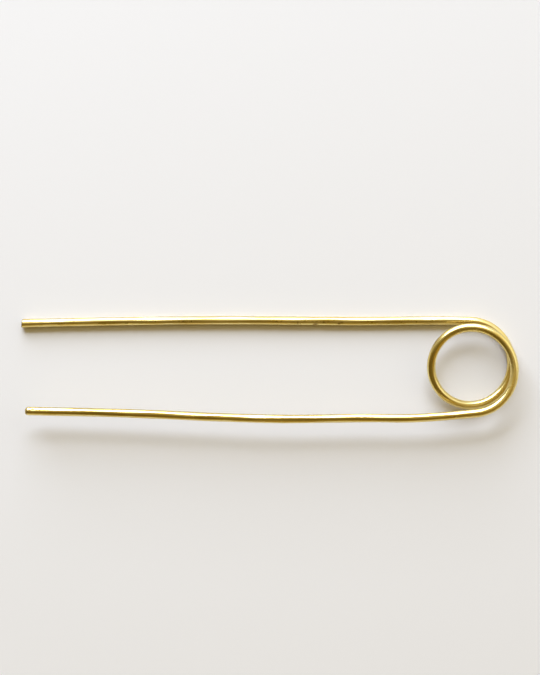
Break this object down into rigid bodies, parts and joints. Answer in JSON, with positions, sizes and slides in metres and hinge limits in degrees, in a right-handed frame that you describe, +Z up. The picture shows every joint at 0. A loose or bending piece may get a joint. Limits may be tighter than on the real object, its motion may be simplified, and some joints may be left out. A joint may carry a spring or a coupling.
{
  "type": "hairpin",
  "caption": "Long hairpin bent from round polished brass wire, with an open spring coil at its head that lets the prongs flex together and apart.",
  "frame": {"origin": "on the table under the middle of the pin's outline, as the pin lies when it is put down", "axes": "+X from the tips of the prongs to the coil, +Y from the raised prong to the resting prong, +Z up"},
  "size_m": [0.1166, 0.025, 0.0073],
  "materials": {
    "polished_brass": "polished"
  },
  "bodies": {
    "pin_base": {"resting_prong": "polished_brass", "coil": "polished_brass"},
    "sprung_prong": {"raised_prong": "polished_brass"}
  },
  "joints": [
    {"name": "coil_flex", "type": "hinge", "parent": "pin_base", "child": "sprung_prong", "pos_m": [0.0477, 0.00019, 0], "axis": [0, 0, 1], "range_deg": [-8, 10], "stiffness_Nm_per_rad": 0.58, "deforming": ["coil"]}
  ]
}
